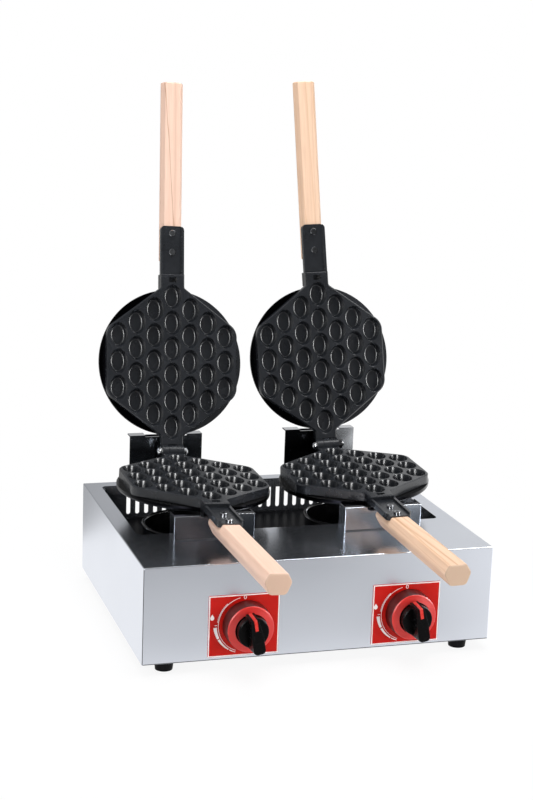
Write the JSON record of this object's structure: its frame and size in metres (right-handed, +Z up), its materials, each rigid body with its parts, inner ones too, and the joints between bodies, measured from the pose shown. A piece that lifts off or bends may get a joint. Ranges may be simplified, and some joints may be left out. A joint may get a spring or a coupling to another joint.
{
  "type": "gas waffle maker",
  "caption": "Gas iron for bubble waffles: hinged oval-cell moulds with wooden handles, carried on brackets over burners in a low steel casing with turn knobs.",
  "frame": {"origin": "on the table, midway between the casing's sides and midway between the foremost and rearmost handle ends", "axes": "+X to the user's right, -Y towards the user and the knobs, +Z up"},
  "size_m": [0.5, 0.7446, 0.7661],
  "materials": {
    "stainless_sheet": "satin",
    "stainless_panel": "satin",
    "base_sheet": "mill finish",
    "foot_rubber": "matt",
    "screw_steel": "bright zinc",
    "dark_tray": "heat-darkened gloss",
    "pipe_steel": "plain tube",
    "valve_brass": "machined",
    "dark_collar": "black enamel",
    "burner_iron": "as cast",
    "bracket_sheet": "satin",
    "dial_red": "printed gloss",
    "bezel_red": "gloss",
    "electrode_ceramic": "glazed ceramic",
    "lead_rubber": "matt",
    "mould_black": "black non-stick coating",
    "left_wood": "sanded, light",
    "right_wood": "sanded, light",
    "bolt_chrome": "polished",
    "nut_dark": "black oxide",
    "dark_screw": "black oxide",
    "knob_black": "satin",
    "pointer_red": "gloss",
    "stem_steel": "turned"
  },
  "bodies": {
    "root": {"casing_shell": "stainless_sheet", "rear_panel": "stainless_panel", "base_plate": "base_sheet", "rubber_feet": "foot_rubber", "foot_screws": "screw_steel", "foot_nuts": "screw_steel", "casing_screws": "screw_steel", "burner_tray": "dark_tray", "bracket_screws": "screw_steel", "manifold_pipe": "pipe_steel", "manifold_plug": "valve_brass", "gas_inlet": "valve_brass", "left_burner_collar": "dark_collar", "left_burner_body": "burner_iron", "left_burner_cap": "burner_iron", "left_front_bracket": "bracket_sheet", "left_rear_bracket": "bracket_sheet", "left_dial_plate": "dial_red", "left_bezel": "bezel_red", "left_valve_body": "valve_brass", "left_injector": "valve_brass", "left_ignition_electrode": "electrode_ceramic", "left_ignition_lead": "lead_rubber", "right_burner_collar": "dark_collar", "right_burner_body": "burner_iron", "right_burner_cap": "burner_iron", "right_front_bracket": "bracket_sheet", "right_rear_bracket": "bracket_sheet", "right_dial_plate": "dial_red", "right_bezel": "bezel_red", "right_valve_body": "valve_brass", "right_injector": "valve_brass", "right_ignition_electrode": "electrode_ceramic", "right_ignition_lead": "lead_rubber"},
    "left_lower": {"left_lower_mould": "mould_black", "left_lower_handle": "left_wood", "left_lower_handle_screws": "dark_screw", "left_hinge_bolt": "bolt_chrome", "left_hinge_nut": "bolt_chrome"},
    "left_upper": {"left_upper_mould": "mould_black", "left_upper_handle": "left_wood", "left_upper_handle_screws": "dark_screw"},
    "left_plunger": {"left_valve_plunger": "valve_brass"},
    "left_knob": {"left_knob": "knob_black", "left_pointer": "pointer_red", "left_valve_stem": "stem_steel"},
    "right_lower": {"right_lower_mould": "mould_black", "right_lower_handle": "right_wood", "right_lower_handle_screws": "dark_screw", "right_hinge_bolt": "bolt_chrome", "right_hinge_nut": "nut_dark"},
    "right_upper": {"right_upper_mould": "mould_black", "right_upper_handle": "right_wood", "right_upper_handle_screws": "dark_screw"},
    "right_plunger": {"right_valve_plunger": "valve_brass"},
    "right_knob": {"right_knob": "knob_black", "right_pointer": "pointer_red", "right_valve_stem": "stem_steel"}
  },
  "joints": [
    {"name": "left_mould_lift", "type": "slide", "parent": "root", "child": "left_lower", "axis": [0, 0, 1], "range_m": [0, 0.011]},
    {"name": "left_mould_open", "type": "hinge", "parent": "left_lower", "child": "left_upper", "pos_m": [-0.121, 0.1982, 0.2087], "axis": [0.999, -0.0101, -0.0431], "range_deg": [0, 105.4]},
    {"name": "left_knob_push", "type": "slide", "parent": "root", "child": "left_plunger", "axis": [0, 1, 0], "range_m": [0, 0.0035], "stiffness_N_per_m": 1200, "springref_m": -0.004},
    {"name": "left_knob_turn", "type": "hinge", "parent": "left_plunger", "child": "left_knob", "pos_m": [-0.10695, -0.2159, 0.0646], "axis": [0, -1, 0], "range_deg": [-10, 140]},
    {"name": "right_mould_lift", "type": "slide", "parent": "root", "child": "right_lower", "axis": [0, 0, 1], "range_m": [0, 0.011]},
    {"name": "right_mould_open", "type": "hinge", "parent": "right_lower", "child": "right_upper", "pos_m": [0.129, 0.1982, 0.2087], "axis": [0.9984, -0.0356, 0.0445], "range_deg": [0, 102.6]},
    {"name": "right_knob_push", "type": "slide", "parent": "root", "child": "right_plunger", "axis": [0, 1, 0], "range_m": [0, 0.0035], "stiffness_N_per_m": 1200, "springref_m": -0.004},
    {"name": "right_knob_turn", "type": "hinge", "parent": "right_plunger", "child": "right_knob", "pos_m": [0.12675, -0.2159, 0.0646], "axis": [0, -1, 0], "range_deg": [-10, 140]}
  ]
}
